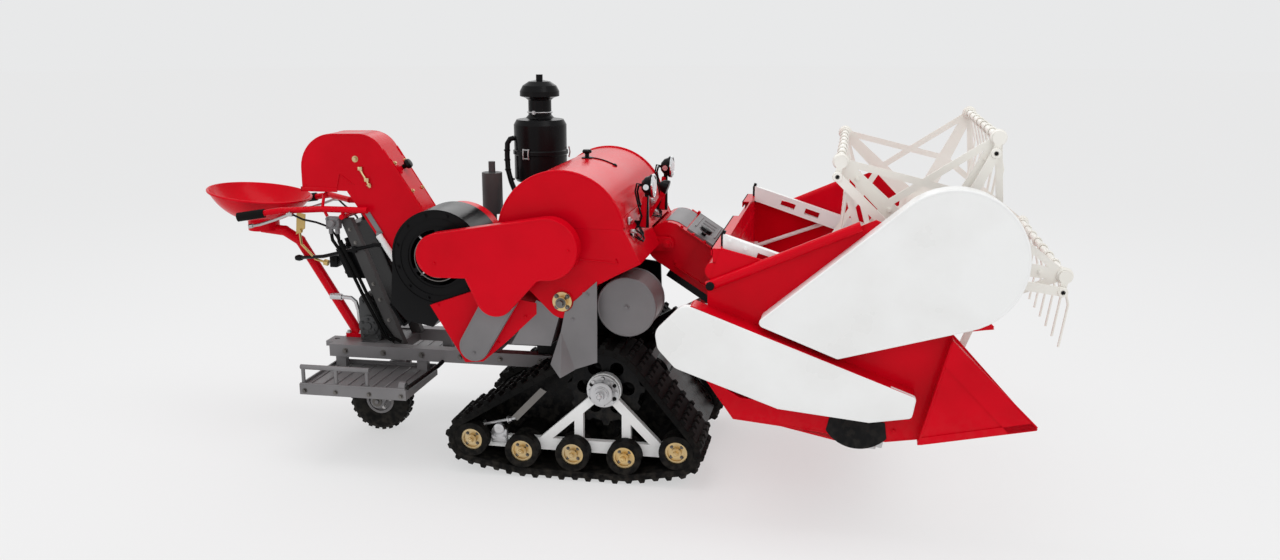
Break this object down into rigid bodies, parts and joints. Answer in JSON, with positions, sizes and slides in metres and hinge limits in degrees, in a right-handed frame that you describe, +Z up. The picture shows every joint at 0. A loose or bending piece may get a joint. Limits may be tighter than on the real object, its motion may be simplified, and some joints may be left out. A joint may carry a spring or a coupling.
{
  "type": "tracked mini combine harvester",
  "caption": "Small seat-driven rice combine on rubber tracks with a tined reel header, auger, threshing drum, grain elevator and a seat over a tail wheel",
  "frame": {"origin": "on the ground, midway along and across the machine", "axes": "+X forward to the header, +Y to the machine's left, +Z up"},
  "size_m": [3.1722, 1.347, 1.39],
  "materials": {
    "red_paint": "bright red gloss enamel on pressed sheet and tube",
    "white_paint": "white semi-gloss enamel on folded sheet covers and track frames",
    "cream_paint": "cream-white enamel on flat bar, tube and wire",
    "grey_paint": "medium grey satin enamel",
    "black_paint": "black semi-gloss enamel",
    "track_rubber": "matt moulded rubber",
    "tyre_rubber": "matt tyre rubber",
    "zinc_plate": "yellow zinc-plated steel",
    "bare_steel": "bare worked steel, a little oily",
    "engine_casting": "dark grey painted casting"
  },
  "bodies": {
    "root": {"chassis_frame": "grey_paint", "transmission": "black_paint", "track_right": "track_rubber", "track_left": "track_rubber", "track_frames": "white_paint", "roller_tyres": "track_rubber", "roller_hubs": "zinc_plate", "sprockets": "bare_steel", "drive_hubs": "bare_steel", "engine": "engine_casting", "air_cleaner": "black_paint", "thresher_stand": "black_paint", "thresher_body": "red_paint", "belt_guard_upper": "red_paint", "belt_guard_lower": "grey_paint", "shaft_bearing": "zinc_plate", "fan_housing": "black_paint", "grain_elevator": "red_paint", "cleaning_shoe": "red_paint", "straw_deflector": "grey_paint", "pulley_guard": "grey_paint", "foot_platforms": "grey_paint", "seat_post": "red_paint", "seat": "red_paint", "rear_uprights": "grey_paint", "rear_panel": "black_paint", "handlebars": "red_paint", "handle_grips": "track_rubber", "control_box": "black_paint", "work_lamps": "black_paint"},
    "header": {"feeder_house": "red_paint", "header_trough": "red_paint", "header_sides": "red_paint", "reel_guard": "white_paint", "knife_guard": "white_paint", "cutter_bar": "bare_steel", "reel_arms": "white_paint", "skids": "black_paint", "feeder_belly": "black_paint", "knife_box": "red_paint"},
    "reel": {"reel": "cream_paint"},
    "eccentric": {"eccentric_ring": "cream_paint"},
    "auger": {"auger": "red_paint"},
    "drum": {"threshing_drum": "bare_steel"},
    "cover": {"drum_cover": "red_paint"},
    "lid": {"feeder_lid": "grey_paint"},
    "fan": {"fan_rotor": "bare_steel"},
    "tail_fork": {"tail_fork": "grey_paint"},
    "tail_wheel": {"tail_tyre": "tyre_rubber", "tail_rim": "grey_paint"},
    "lift_barrel": {"lift_barrel": "black_paint"},
    "lift_rod": {"lift_rod": "bare_steel"},
    "tine_bar_1": {"tine_bar_1": "cream_paint"},
    "tine_bar_2": {"tine_bar_2": "cream_paint"},
    "tine_bar_3": {"tine_bar_3": "cream_paint"},
    "tine_bar_4": {"tine_bar_4": "cream_paint"},
    "tine_bar_5": {"tine_bar_5": "cream_paint"}
  },
  "joints": [
    {"name": "header_lift", "type": "hinge", "parent": "root", "child": "header", "pos_m": [0.23887, 0.1915, 0.8], "axis": [0, -1, 0], "range_deg": [-16, 4]},
    {"name": "reel_spin", "type": "hinge", "parent": "header", "child": "reel", "pos_m": [1.15687, 0.0165, 0.895], "axis": [0, 1, 0], "continuous": true},
    {"name": "eccentric_spin", "type": "hinge", "parent": "header", "child": "eccentric", "pos_m": [1.14906, -0.5095, 0.85068], "axis": [0, 1, 0], "continuous": true},
    {"name": "auger_spin", "type": "hinge", "parent": "header", "child": "auger", "pos_m": [0.64387, 0.0165, 0.485], "axis": [0, 1, 0], "continuous": true},
    {"name": "drum_spin", "type": "hinge", "parent": "root", "child": "drum", "pos_m": [-0.06613, 0.0165, 0.89], "axis": [0, 1, 0], "continuous": true},
    {"name": "cover_open", "type": "hinge", "parent": "root", "child": "cover", "pos_m": [-0.29447, 0.0165, 0.917], "axis": [0, -1, 0], "range_deg": [0, 65]},
    {"name": "lid_open", "type": "hinge", "parent": "header", "child": "lid", "pos_m": [0.28444, 0.3725, 0.87104], "axis": [-0.8417, 0, 0.54], "range_deg": [0, 95]},
    {"name": "fan_spin", "type": "hinge", "parent": "root", "child": "fan", "pos_m": [-0.51913, -0.2635, 0.793], "axis": [0, 1, 0], "continuous": true},
    {"name": "tail_swivel", "type": "hinge", "parent": "root", "child": "tail_fork", "pos_m": [-0.84613, 0.0165, 0.3], "axis": [0, 0, 1], "continuous": true},
    {"name": "tail_spin", "type": "hinge", "parent": "tail_fork", "child": "tail_wheel", "pos_m": [-0.92213, 0.0165, 0.127], "axis": [0, 1, 0], "continuous": true},
    {"name": "lift_swing", "type": "hinge", "parent": "root", "child": "lift_barrel", "pos_m": [0.11887, 0.0965, 0.43], "axis": [0, -1, 0], "range_deg": [-6, 8]},
    {"name": "lift_stroke", "type": "slide", "parent": "lift_barrel", "child": "lift_rod", "axis": [0.8646, 0, 0.5024], "range_m": [-0.09, 0.04]},
    {"name": "tine_bar_1_turn", "type": "hinge", "parent": "reel", "child": "tine_bar_1", "pos_m": [1.55793, 0.0165, 0.83864], "axis": [0, 1, 0], "continuous": true},
    {"name": "tine_bar_2_turn", "type": "hinge", "parent": "reel", "child": "tine_bar_2", "pos_m": [1.33441, 0.0165, 1.25901], "axis": [0, 1, 0], "continuous": true},
    {"name": "tine_bar_3_turn", "type": "hinge", "parent": "reel", "child": "tine_bar_3", "pos_m": [0.86554, 0.0165, 1.17634], "axis": [0, 1, 0], "continuous": true},
    {"name": "tine_bar_4_turn", "type": "hinge", "parent": "reel", "child": "tine_bar_4", "pos_m": [0.79928, 0.0165, 0.70486], "axis": [0, 1, 0], "continuous": true},
    {"name": "tine_bar_5_turn", "type": "hinge", "parent": "reel", "child": "tine_bar_5", "pos_m": [1.2272, 0.0165, 0.49615], "axis": [0, 1, 0], "continuous": true}
  ],
  "couplings": [
    {"joint": "eccentric_spin", "follows": "reel_spin", "ratio": 1},
    {"joint": "lift_swing", "follows": "header_lift", "ratio": -0.11},
    {"joint": "lift_stroke", "follows": "header_lift", "m_per_rad": 0.2565},
    {"joint": "tine_bar_1_turn", "follows": "reel_spin", "ratio": -1},
    {"joint": "tine_bar_2_turn", "follows": "reel_spin", "ratio": -1},
    {"joint": "tine_bar_3_turn", "follows": "reel_spin", "ratio": -1},
    {"joint": "tine_bar_4_turn", "follows": "reel_spin", "ratio": -1},
    {"joint": "tine_bar_5_turn", "follows": "reel_spin", "ratio": -1}
  ]
}
